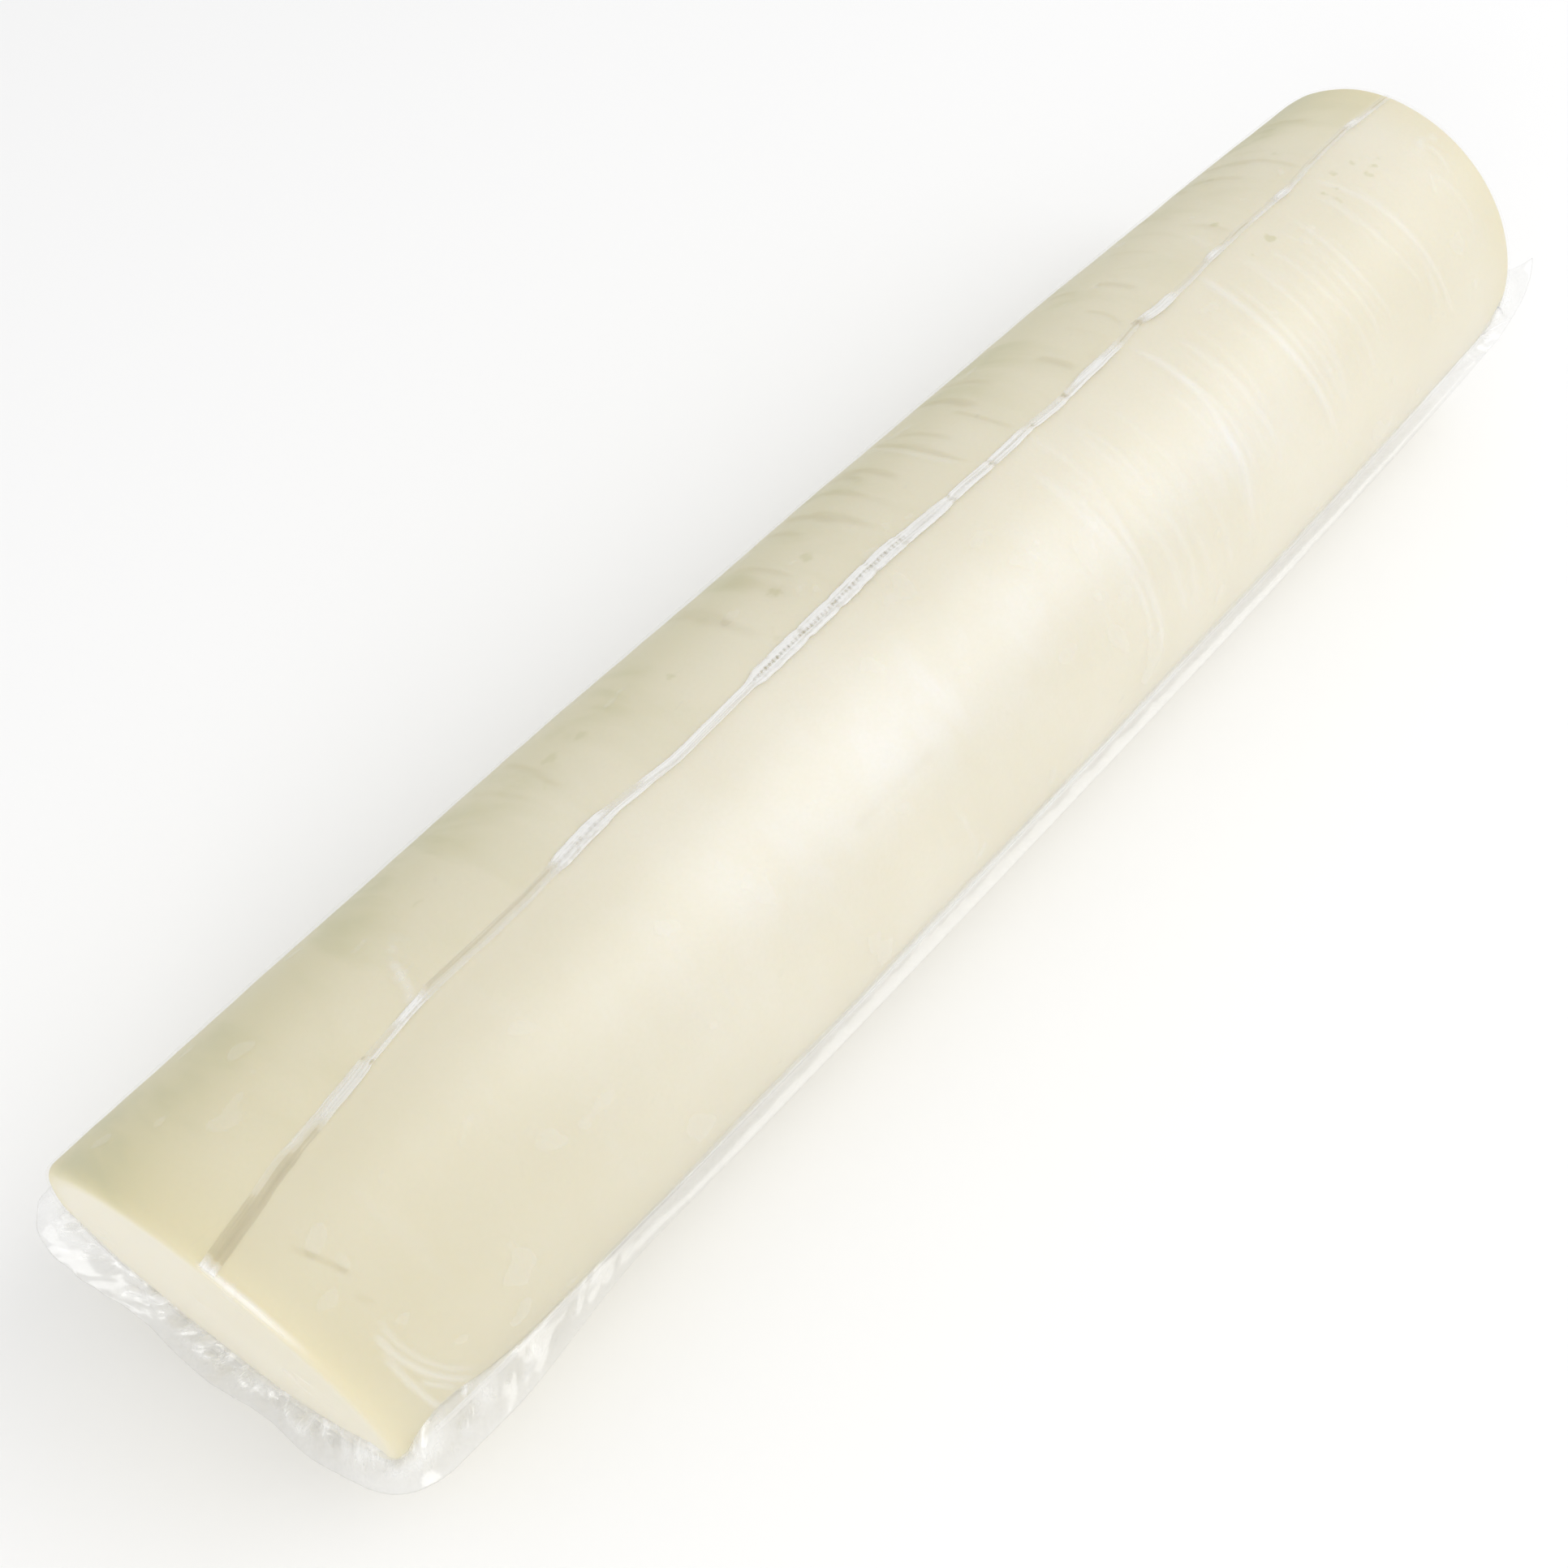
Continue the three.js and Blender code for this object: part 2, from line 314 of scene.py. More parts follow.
def make_cheese_material():
    material, tree, cheese = new_material("provolone")
    broad = remap(tree, grain(tree, scale=14.0, detail=2.0), 0.35, 0.65)
    body = mix_colour(tree, broad, CREAM, PALE_CREAM)
    # Painted shade: yellower towards the ends and down the left side.
    body = mix_colour(tree, attribute(tree, "yellow_shade"), body, SHADE_YELLOW)
    # Painted shade: darker towards the near end.
    body = mix_colour(tree, attribute(tree, "near_end_shade"), body, SHADED_CREAM)
    # Haze with painted light in it: the light's sheen, highlights on white folds and the rim's glint.
    silk = grain(tree, scale=90.0, detail=2.0, stretch=(1.0, 0.5, 0.5), distortion=0.3)
    silk = remap(tree, silk, 0.3, 0.7, 0.7, 1.25)
    body = mix_colour(tree, math_node(tree, "MULTIPLY", silk, attribute(tree, "haze_and_sheen")), body, HAZE_AND_SHEEN_WHITE)
    # Painted shade: olive, in hoop-wise streaks, down the left side away from the light.
    hoops = grain(tree, scale=60.0, stretch=(1.0, 0.3, 0.3), roughness=0.55, distortion=0.5)
    hoops = remap(tree, hoops, 0.45, 0.72, 0.30, 0.62)
    body = mix_colour(tree, math_node(tree, "MULTIPLY", hoops, attribute(tree, "left_shade")), body, OLIVE_SHADE_AND_DAMP)
    ragged = math_node(tree, "MULTIPLY_ADD", grain(tree, scale=330.0), 0.9, attribute(tree, "damp"))
    body = mix_colour(tree, remap(tree, ragged, 0.80, 1.15, 0.0, 0.62), body, OLIVE_SHADE_AND_DAMP)
    speckle = remap(tree, grain(tree, scale=900.0, detail=2.0), 0.3, 0.7, 0.0, 0.06)
    body = mix_colour(tree, speckle, body, OLIVE_SHADE_AND_DAMP)
    tree.links.new(body, cheese.inputs["Base Color"])
    cheese.inputs["Roughness"].default_value = 0.5
    cheese.inputs["Subsurface Weight"].default_value = 0.25
    cheese.inputs["Subsurface Radius"].default_value = (1.0, 0.7, 0.35)
    cheese.inputs["Subsurface Scale"].default_value = 0.004
    pores = grain(tree, scale=260.0, detail=4.0)
    bump = add_node(tree, "ShaderNodeBump", Strength=0.25, Distance=0.0004, Height=pores)
    tree.links.new(bump.outputs[0], cheese.inputs["Normal"])
    return material


provolone_finish = make_cheese_material()


# %% The film
# White of the film: its own milkiness, and its painted highlights and glints.
CLEAR_WHITE = (0.98, 0.98, 0.97, 1.0)
# Brown of the film: doubled film in the seam, and painted shade in the dark folds.
SHADE_AND_FILM_BROWN = (0.42, 0.36, 0.23, 1.0)


def toned_cover(tree, white_share, dark_share):
    """How much the film's tone hides: white, partly painted highlight, by one share; brown, partly painted
    shade, by another.
    """
    tone = attribute(tree, "tone")
    white = math_node(tree, "MULTIPLY", math_node(tree, "MAXIMUM", tone, 0.0), white_share)
    dark = math_node(tree, "MULTIPLY", math_node(tree, "MINIMUM", tone, 0.0), -dark_share)
    return math_node(tree, "ADD", white, dark)


def tint_by_tone(tree, film):
    colour = mix_colour(tree, remap(tree, attribute(tree, "tone"), -0.12, 0.0), SHADE_AND_FILM_BROWN, CLEAR_WHITE)
    tree.links.new(colour, film.inputs["Base Color"])


def make_film(name, cover, head_on, edge_on, roughness):
    """A film finish: cover builds, in the material's tree, the share that the film hides."""
    material, tree, film = new_material(name)
    clear_film(tree, film, cover(tree), head_on, edge_on)
    tint_by_tone(tree, film)
    film.inputs["Roughness"].default_value = roughness
    return material


def tight_cover(tree):
    """Faint patches where the film lifts off the cheese, with the painted highlights and shade of its
    folds.
    """
    cling = grain(tree, scale=110.0, detail=1.0, stretch=(0.8, 1.0, 1.0), roughness=0.4, distortion=0.2)
    islands = math_node(tree, "MULTIPLY_ADD", attribute(tree, "bubble"), 0.30, cling)
    patches = math_node(tree, "ADD", remap(tree, islands, 0.70, 0.75, 0.0, 0.09), 0.01)
    return math_node(tree, "ADD", patches, toned_cover(tree, 0.36, 0.22), clamp=True)


def loose_cover(tree):
    """Soft clouds in the crumpled film, with its painted glints and the whiter film by the log."""
    clouds = remap(tree, grain(tree, 90.0, 4.0, roughness=0.6, distortion=1.0), 0.35, 0.65, 0.02, 0.06)
    return math_node(tree, "ADD", clouds, toned_cover(tree, 0.5, 0.2), clamp=True)


def seam_cover(tree):
    return math_node(tree, "ADD", toned_cover(tree, 0.60, 0.17), 0.02, clamp=True)


tight_film = make_film("tight_film", tight_cover, head_on=0.045, edge_on=0.08, roughness=0.36)
loose_film = make_film("loose_film", loose_cover, head_on=0.04, edge_on=0.10, roughness=0.15)
seam_film = make_film("seam_film", seam_cover, head_on=0.04, edge_on=0.12, roughness=0.18)

# %% [markdown]
# ## Folds in the film
# Cheese and film share one set of rings, so a fold lifts both alike. A fold is a low ridge with a
# shallow trough on each side of it, and a tone: white painted as the highlight along its crease, and
# brown painted as the shade it casts on what is under it. Each fold follows a route across the log,
# given in millimetres along it and degrees from the crest. The strong ones are placed one by one.
# The fine ones, where the film is drawn round hoop-wise, come from a seeded rule.

# %% Fold routes
SEAM_ROUTE = [
    (-260, 13.0), (-233, 6.9), (-205, 2.8), (-190, 0.6), (-180, -0.4), (-150, -0.6), (-138, -1.8),
    (-130, -2.5), (-118, -2.6), (-98, -1.3), (-76, -1.9), (-62, -2.9), (-45, -3.3), (-35, -3.7),
    (-25, -4.3), (-10, -4.7), (6, -4.0), (30, -3.8), (54, -4.1), (64, -3.7), (80, -4.3), (98, -5.3),
    (110, -6.3), (120, -5.1), (134, -5.4), (152, -6.7), (165, -7.3), (193, -7.1), (206, -9.0),
    (230, -10.6), (241, -10.1), (258, -9.4),
]
PLACED_FOLDS = [
    # route, width, height, tone
    ([(140, -5), (138, 15), (139, 41), (140, 70)], 1.40, 0.11, 0.48),
    ([(143, 6), (143, 35), (143, 60)], 1.04, 0.06, 0.24),
    ([(99, -2), (101, 25), (97, 50), (94, 70)], 1.30, 0.1, 0.38),
    ([(101, 14), (103.5, 35), (100, 56)], 1.04, 0.08, 0.23),
    ([(50, -4), (51, 15), (48, 31), (46, 50), (44, 76)], 1.3, 0.08, 0.18),
    ([(62, 3), (61, 14), (61, 32)], 1.43, 0.05, 0.11),
    ([(78, 28), (75, 44)], 1.3, 0.06, 0.13),
    ([(201, -6), (208, 20), (211, 46), (214, 74)], 1.23, 0.08, 0.30),
    ([(196, 8), (199, 30), (203, 54)], 1.04, 0.06, 0.14),
    ([(181, 2), (181, 28), (184, 56)], 1.04, 0.07, 0.18),
    ([(176, 8), (177, 30), (179, 48)], 1.04, 0.06, 0.14),
    ([(170, 12), (170, 36)], 1.04, 0.05, 0.13),
    ([(114, 16), (115, 33), (113, 52)], 1.04, 0.05, 0.11),
    ([(-245, 50), (-246, 61), (-241, 77), (-232, 92)], 0.91, 0.07, 0.46),
    ([(-243, 49), (-243.5, 61), (-239, 75), (-230, 88)], 0.78, 0.05, 0.30),
    ([(-248, 56), (-248, 69), (-246, 86), (-242, 94)], 0.91, 0.06, 0.40),
    ([(-246, 72), (-239, 87)], 0.78, 0.05, 0.36),
    ([(234, 11), (241, 10.5), (247, 12), (255, 15)], 0.8, 0.10, 0.38),
    ([(238, 14), (246, 14.5), (247, 21), (243, 29)], 0.8, 0.08, 0.34),
    ([(232, 20), (240, 28), (242, 42), (236, 52)], 1.17, 0.06, 0.14),
    ([(-189, 0), (-185, -4), (-183, -10), (-181, -15)], 1.05, 0.08, 0.60),
    ([(-181, -14), (-178, -17.5), (-175, -15.5)], 0.95, 0.05, 0.36),
    ([(157, -19), (153, -9)], 1.82, 0.08, 0.23),
    ([(-48, 61), (-45, 75), (-45, 88)], 0.91, 0.05, 0.18),
    ([(-79, 45), (-58, 43), (-38, 46)], 1.32, -0.06, -0.07),
    # the left side's dark hoops and creases, painted as shade
    ([(31, -50), (28, -28), (29, -14), (32, -6)], 0.91, 0.05, 0.2),
    ([(33, -50), (30.5, -28), (31, -14), (33.5, -6)], 0.84, -0.05, -0.19),
    ([(50, -30), (50, -15), (51, -6)], 0.84, -0.05, -0.18),
    ([(6, -44), (6, -12)], 1.08, -0.05, -0.1),
    ([(-7, -34), (-3, -10)], 1.44, -0.05, -0.09),
    ([(-120, -48), (-120, -32), (-121, -23), (-122, -15)], 1.08, -0.07, -0.14),
    ([(-132, -48), (-128, -20)], 0.96, -0.05, -0.1),
    ([(-38, -42), (-37, -12)], 3.12, -0.03, -0.09),
    ([(-56, -36), (-53, -9)], 1.92, -0.03, -0.09),
    ([(-245, 22), (-242, 30), (-240, 38)], 0.84, -0.05, -0.13),
    ([(-243, 41), (-241, 45)], 0.84, -0.05, -0.1),
]
FINE_GROUPS = [
    # along from and to, angle from and to, how many, height, tone
    (148, 222, 0, 62, 20, 0.06, 0.13),
    (36, 114, 6, 78, 24, 0.06, 0.13),
    (112, 150, 6, 62, 8, 0.05, 0.10),
    # dark fine hoops on the left side, painted as shade
    (-60, 238, -50, -8, 30, -0.05, -0.13),
    (-150, 30, 15, 80, 10, 0.03, 0.05),
    (-250, -150, 20, 85, 6, 0.03, 0.04),
]
FOLD_MARGIN = 8
FADE_IN, FADE_OUT = 0.10, 0.75
TROUGH_AT = 2.1


def seam_degrees(x):
    """The angle from the crest at which the pouch's back seam runs."""
    return np.interp(x, [along for along, _ in SEAM_ROUTE], [turn for _, turn in SEAM_ROUTE])


def fine_folds(seed):
    draw = np.random.default_rng(seed)
    folds = []
    for x_from, x_to, first, last, count, height, tone in FINE_GROUPS:
        for _ in range(count):
            place = draw.uniform(x_from, x_to)
            middle = draw.uniform(first, last)
            half = draw.uniform(0.15, 0.5) * (last - first)
            low, high = max(first, middle - half), min(last, middle + half)
            lean = draw.uniform(-3.0, 1.5)
            route = [(place, low), (place + 1.0, (low + high) / 2), (place + lean, high)]
            strength = draw.uniform(0.5, 1.4)
            folds.append((route, draw.uniform(0.9, 1.5), height * strength, tone * strength))
    return folds


def along_route(x, degrees, route):
    """Distance in millimetres to a route, and the share of the way along it at the nearest point."""
    spot = np.stack([x, np.radians(degrees) * SKIN_RADIUS], -1)
    bends = np.array([(a, math.radians(b) * SKIN_RADIUS) for a, b in route])
    lengths = np.linalg.norm(np.diff(bends, axis=0), axis=1)
    total, before = lengths.sum(), 0.0
    best = np.full(len(x), 1e9)
    share_along = np.zeros(len(x))
    for start, end, length in zip(bends, bends[1:], lengths):
        along = np.clip((spot - start) @ (end - start) / length**2, 0, 1)
        gap = np.linalg.norm(spot - start - along[:, None] * (end - start), axis=1)
        closer = gap < best
        best = np.where(closer, gap, best)
        share_along = np.where(closer, (before + along * length) / total, share_along)
        before += length
    return best, share_along


def smooth_route(route, steps=6):
    """Rounds a route of three or four bends by sampling the curve through them."""
    if len(route) < 3:
        return route
    places = np.linspace(0, len(route) - 1, steps * (len(route) - 1) + 1)
    knots = np.arange(len(route))
    order = min(3, len(route) - 1)
    curves = [np.polyfit(knots, column, order) for column in zip(*route)]
    return list(zip(*[np.polyval(curve, places) for curve in curves]))


def within(values, ends):
    return (values > min(ends) - FOLD_MARGIN) & (values < max(ends) + FOLD_MARGIN)


def fold_relief(x, degrees, folds):
    """Height in millimetres and tone that a list of folds gives at each point."""
    height = np.zeros(len(x))
    tone = np.zeros(len(x))
    for route, width, rise, shade in folds:
        route = smooth_route(route)
        places, turns = zip(*route)
        spots = np.nonzero(within(x, places) & within(degrees, turns))[0]
        if len(spots) == 0:
            continue
        gap, along = along_route(x[spots], degrees[spots], route)
        fade = smooth(along, 0.0, FADE_IN) * (1 - smooth(along, FADE_OUT, 1.0))
        ridge = hill(gap, width)
        trough = hill(gap - TROUGH_AT * width, width)
        height[spots] += rise * fade * (ridge - 0.15 * trough)
        tone[spots] += shade * fade * (ridge - 0.08 * trough)
    return height, np.clip(tone, -1, 1)


# %% [markdown]
# ## Two skins on one set of rings
# The bare log has flat ends with a small rounded rim and a long barrelled side. The film is a second
# closed skin, under half a millimetre off it. Rings are close together where there are folds and
# further apart where the film is smooth, so the points go where the detail is.

# %% Rings
SKIN_ROUND = 156
FACE_STEPS = 16
RIM_STEPS = 6
RIM_CLEARANCE = 0.3
CHEESE_UNDER = 0.45
CHEESE_LOWEST = 0.25
WRAP_LOWEST = 0.05


def ring_stations():
    """Stretches along the log with the spacing of the rings in each, in millimetres."""
    stretches = [
        (-258.5, -228, 0.9), (-228, -192, 1.6), (-192, -172, 0.6), (-172, 24, 1.5), (24, 222, 0.75),
        (222, 236, 1.4), (236, 258.5, 0.9),
    ]
    return np.concatenate([np.arange(*stretch) for stretch in stretches])


def log_profile(side_stations, under):
    """From the middle of the near face round its rim, along the side and to the far face's middle."""
    face_share = 1.0 - RIM_RADIUS / HALF_WIDTH
    shrink = 1.0 - under / HALF_WIDTH
    end = [(HALF_LENGTH - under, face_share * shrink * i / FACE_STEPS) for i in range(FACE_STEPS)]
    for i in range(RIM_STEPS + 1):
        turn = i / RIM_STEPS * math.pi / 2
        x = HALF_LENGTH - under - RIM_RADIUS * (1.0 - math.cos(turn))
        end.append((x, shrink * (face_share + (1.0 - face_share) * math.sin(turn))))
    near = [(-x, share) for x, share in end]
    limit = HALF_LENGTH - RIM_RADIUS - under - RIM_CLEARANCE
    side = [(x, shrink) for x in side_stations if abs(x) < limit]
    return near + side + end[::-1]


def make_skin(name, under, lowest, dents=0.0):
    """A closed skin of the log with the folds in it, pressed flat where it rests.

    dents sets how much it is unevenly hollowed. Also returns each point's place along the log,
    share of the radius, angle in degrees and fold tone.
    """
    mesh = lathe(name, log_profile(ring_stations(), under), SKIN_ROUND)
    x, share, angle = polar(points_of(mesh))
    points = on_log(x, angle, share)
    outward = points - to_frame(x, side_bow(x), 0 * x)
    outward[:, 0] = 0
    outward /= np.maximum(np.linalg.norm(outward, axis=1, keepdims=True), 1e-6)
    degrees = np.degrees(angle)
    height, tone = fold_relief(x, degrees, FOLDS)
    on_side = smooth(share, 0.95, 0.975)
    hollows = dents * (0.35 * unevenness(points, 38, 1) + 0.12 * unevenness(points, 9, 2) - 0.25)
    height = height * on_side + hollows * np.minimum(share * 2, 1)
    points += outward * (height * MM)[:, None]
    points[:, 2] = np.maximum(points[:, 2], lowest * MM)
    put_points(mesh, points)
    return mesh, x, share, degrees, tone * on_side


def rim_glint(x, share, degrees):
    """The film's bright line where it turns over the near end's rim, to the right of the seam."""
    along_rim = smooth(degrees, 9, 13) * (1 - smooth(degrees, 22, 48))
    on_near_rim = hill(share - 0.985, 0.012) * (1 - smooth(x, -259.3, -258.0))
    return 1.3 * on_near_rim * along_rim


def spots_at(x, degrees, places):
    """A smooth bump at each (along, angle, radius in millimetres, strength)."""
    total = np.zeros(len(x))
    for along, turn, radius, strength in places:
        across = np.radians(degrees - turn) * SKIN_RADIUS
        total += strength * hill(x - along, radius) * hill(across, radius)
    return np.clip(total, 0, 1)


FOLDS = PLACED_FOLDS + fine_folds(11)
print(len(FOLDS), "folds")

# %% [markdown]
# ## The cheese's tones
# A real log isn't one colour: it has small damp spots. Its light and shade are also painted into its
# colour: painted shade makes it yellower at the ends, darker near one of them and olive down the left
# side, away from the light. The haze is milky right of the seam, where the film stands a little off
# the cheese and the side is lit, and the light's sheen and highlights on white folds are painted into
# it. Painting them by hand would take an image, so each is worked out from the place along the log
# and the angle, and kept as a number on each point that the material reads.

# %% Tones of the cheese
DAMP_SPOTS = [
    # along, angle, radius in millimetres, strength
    (-22, -24, 3.0, 0.8), (-38, -22, 5.0, 0.6), (-76, -23, 2.6, 0.7), (-104, -30, 2.6, 0.8),
    (-114, -32, 3.2, 0.8), (-167, -23, 2.4, 0.6), (212, -24, 2.8, 0.7), (166, -16, 2.2, 0.7),
    (169, 2, 2.4, 0.95), (159, 3, 1.6, 0.8), (223, 7, 2.2, 0.8), (228, 6, 1.6, 0.8), (219, 1, 1.8, 0.7),
    (210, -1, 2.0, 0.8), (199, 3, 1.5, 0.8), (200, 8, 1.8, 0.8), (204, 4, 1.4, 0.8), (218, 8, 2.0, 0.8),
    (-50, -9, 5.0, 0.4), (-122, -24, 3.0, 0.5),
]
# Painted highlights: where the light's broad sheen lies on the cheese.
SHEENS = [
    # along and its reach, angle and its reach, strength
    (-35, 95, 34, 17, 1.0), (98, 28, 43, 11, 0.7),
]


def on_left(left):
    return smooth(left, 0, 4)


def far_left(x, left):
    return on_left(left) * smooth(x, 205, 250)


def yellow_shade_at(x, left):
    """Painted shade, yellower and darker, towards both ends and down the left side. left is in degrees to
    the left of the seam.
    """
    near_end = 0.35 * (1 - smooth(x, -258, -236)) + 0.35 * (1 - smooth(x, -240, -130))
    far_end = 0.35 * smooth(x, 236, 262)
    return near_end + far_end + 0.3 * on_left(left) * smooth(left, 10, 46) + 0.35 * far_left(x, left)


def near_end_shade_at(x, left):
    """Painted shade right of the seam, darker towards the near end, but not on the end face."""
    return 0.44 * smooth(x, -260, -250) * (1 - smooth(x, -225, -70)) * smooth(-left, -2, 6)


def left_shade_at(x, left):
    """Painted olive shade left of the seam, away from the light: deeper further down, and less again at
    the back.
    """
    deeper = 0.45 + 0.55 * smooth(left, 6, 38) + 0.9 * smooth(left, 18, 46)
    return on_left(left) * deeper * (1 + far_left(x, left)) * (1 - 0.6 * smooth(left, 58, 90))


def haze_and_sheen_at(x, degrees, left):
    """Haze and painted light right of the seam: paler on that lit side, where the film also stands off the
    cheese, with the light's sheen painted in.
    """
    off_seam = smooth(-left, -2, 5) * (1 - 0.6 * smooth(degrees, 60, 100))
    towards_middle = 1 - 0.6 * smooth(np.abs(x + 20), 110, 230)
    sheen = sum(
        strength * hill(x - along, reach) * hill(degrees - turn, spread)
        for along, reach, turn, spread, strength in SHEENS
    )
    return 0.07 * off_seam * towards_middle + 0.28 * sheen


# %% Make the cheese
cheese_mesh, x, share, degrees, tone = make_skin("provolone", CHEESE_UNDER, CHEESE_LOWEST, dents=1.0)
on_side = smooth(share, 0.9, 0.985)
left = seam_degrees(x) - degrees
# Haze right of the seam, paler on the lit side, with the light's painted sheen.
haze_and_sheen = haze_and_sheen_at(x, degrees, left) * on_side
# Painted highlights: white along the folds and the glint on the near rim.
haze_and_sheen += 0.4 * np.maximum(tone, 0) + 0.6 * rim_glint(x, share, degrees)
mark(cheese_mesh, "haze_and_sheen", np.clip(haze_and_sheen, 0, 0.8))
# Painted shade: yellower at the ends and down the left side.
mark(cheese_mesh, "yellow_shade", np.clip(yellow_shade_at(x, left) * on_side, 0, 1))
mark(cheese_mesh, "damp", spots_at(x, degrees, DAMP_SPOTS))
# Painted shade towards the near end.
mark(cheese_mesh, "near_end_shade", near_end_shade_at(x, left) * on_side)
# Painted shade down the left side, away from the light.
mark(cheese_mesh, "left_shade", left_shade_at(x, left) * on_side)
finish_piece("provolone", cheese_mesh, provolone_finish)

# %% Make the tight film
BUBBLES = [
    # along, angle, radius in millimetres, strength
    (-153, 82, 5.5, 1.0), (-207, 68, 6.0, 1.0), (-214, 79, 4.0, 1.0), (-217, 82, 3.0, 0.9),
    (-231, 72, 2.6, 1.0), (-231, -9, 7.0, 0.9), (-133, 28, 4.0, 0.9), (-110, 34, 6.0, 0.9),
    (29, 62, 5.0, 0.9), (37, 81, 5.0, 1.0), (-87, 76, 4.0, 0.9), (-85, 84, 3.0, 0.9),
    (-240, 54, 3.0, 0.7), (220, 23, 1.0, 1.0), (30, 45, 20.0, 0.6),
]

wrap_mesh, x, share, degrees, tone = make_skin("pouch_wrap", 0.0, WRAP_LOWEST)
# Painted light in the wrap's tone: the folds' highlights and shade, the rim's glint, and a highlight where
# the flange leaves the right side.
strip_glint = 0.45 * hill(degrees - 95.5, 1.6) * smooth(x, -175, -150) * (x < 225)
mark(wrap_mesh, "tone", np.clip(tone + rim_glint(x, share, degrees) + strip_glint, -1, 1))
mark(wrap_mesh, "bubble", spots_at(x, degrees, BUBBLES) * (share > 0.9))
finish_piece("pouch_wrap", wrap_mesh, tight_film)

# %% [markdown]
# ## The pouch's sealed edge
# Where the pouch's two sheets are sealed together, a thin flange stands off the log: a few
# millimetres along each side, wider towards three corners, a crumpled skirt across each end, and
# one stiff corner that sticks up. It is made as a flat strip whose length follows the edge's plan
# and whose width goes from the upper sheet to the free edge and back to the lower sheet. Crumpled
# film is all flat facets and sharp creases, so it is shaped by a sum of triangle waves.

# %% Sizes of the edge
EDGE_ROOT = 5.0
EDGE_DROP = 10.0
SIDE_EDGE = 3.8
CORNER_EDGE = 9.0
CORNER_START = 175.0
CORNER_END = 235.0
END_SKIRT = 7.6
SKIRT_CORNER = 8.0
SOFT_CORNER = 15.0
SKIRT_SAG = 28.0
SKIRT_WAVE = 0.8
WAVE_PITCH = 34.0
EAR_INSET = 6.0
EAR_LENGTH = 15.0
EAR_RISE = 22.0
EAR_SPREAD = 12.5
CORNER_SLUMP = 4.5
CORNER_REACH = 2.0
SLUMP_PLACE = (-262, 26, 46, 22)
EDGE_STEPS = 1560
EDGE_ROWS = 28
END_DETAIL = 2.2


# %% The plan of the edge
CORNER_POINTS = 24


def corner(centre_x, centre_y, radius, first, last):
    turns = np.linspace(first, last, CORNER_POINTS)
    return np.stack([centre_x + radius * np.cos(turns), centre_y + radius * np.sin(turns)], -1)


def edge_plan(shares):
    """Points round the rounded rectangle that the sealed edge follows from above, closer at the ends."""
    end_x = HALF_LENGTH + END_SKIRT
    straight_x, straight_y = end_x - SKIRT_CORNER, HALF_WIDTH - SKIRT_CORNER
    soft_x, soft_y = end_x - SOFT_CORNER, HALF_WIDTH - SOFT_CORNER
    half_turn = math.pi / 2
    outline = np.concatenate([
        corner(straight_x, -straight_y, SKIRT_CORNER, -half_turn, 0),
        corner(straight_x, straight_y, SKIRT_CORNER, 0, half_turn),
        corner(-straight_x, straight_y, SKIRT_CORNER, half_turn, math.pi),
        corner(-soft_x, -soft_y, SOFT_CORNER, math.pi, 3 * half_turn),
    ])
    outline = np.concatenate([outline, outline[:1]])
    lengths = np.linalg.norm(np.diff(outline, axis=0), axis=1)
    at_end = np.abs(outline[1:, 0] + outline[:-1, 0]) / 2 > soft_x
    walked = np.concatenate([[0], np.cumsum(lengths)])
    effort = np.concatenate([[0], np.cumsum(lengths * np.where(at_end, END_DETAIL, 1.0))])
    places = np.interp(shares * effort[-1], effort, walked)
    return np.interp(places, walked, outline[:, 0]), np.interp(places, walked, outline[:, 1]), places


def around(plan_x, plan_y, place):
    """A smooth hill round a place: its middle and reach along the log, then the same across it."""
    along, along_reach, across, across_reach = place
    return hill(plan_x - along, along_reach) * hill(plan_y - across, across_reach)


def towards_wide_corner(plan_x, plan_y):
    """1 at the three corners where the edge is wide, and 0 on the sides and at the raised corner."""
    return smooth(np.abs(plan_x), CORNER_START, CORNER_END) * ((plan_x < 0) | (plan_y > 0))


def edge_point(plan_x, plan_y, out):
    """A point of the flange in millimetres about the axis: out is 0 inside the log and 1 at the rim."""
    across = plan_y / HALF_WIDTH
    x = plan_x * ((HALF_LENGTH - EDGE_ROOT) / (HALF_LENGTH + END_SKIRT) * (1 - out) + out)
    slumped = around(plan_x, plan_y, SLUMP_PLACE)
    wide = SIDE_EDGE + (CORNER_EDGE - SIDE_EDGE) * towards_wide_corner(plan_x, plan_y)
    wide = wide + CORNER_REACH * slumped
    y = across * (HALF_WIDTH * fullness(x) - EDGE_ROOT * (1 - out) + wide * out) + side_bow(x)
    on_skirt = smooth(np.abs(plan_x), HALF_LENGTH - SKIRT_CORNER, HALF_LENGTH + END_SKIRT) * out
    wave = SKIRT_WAVE * on_skirt * np.sin(plan_y / WAVE_PITCH * 2 * math.pi)
    sag = SKIRT_SAG * (1 - across**2)
    ear_gap = np.hypot(plan_x - HALF_LENGTH - END_SKIRT, plan_y + HALF_WIDTH - EAR_INSET)
    ear = np.maximum(0, 1 - ear_gap / EAR_SPREAD) * out
    z = -EDGE_DROP - sag + wave + EAR_RISE * ear - CORNER_SLUMP * slumped
    skewed = x + skew_at(x) * y + np.sign(x) * wave + EAR_LENGTH * ear
    return np.stack([skewed, y, z], -1), on_skirt, ear


# %% Crumpled film
FACET_WAVES = 8
FACET_SLOPE = 0.036
FACET_PITCH = (5.0, 18.0)
FACET_HEADING = (-1.2, 1.2)


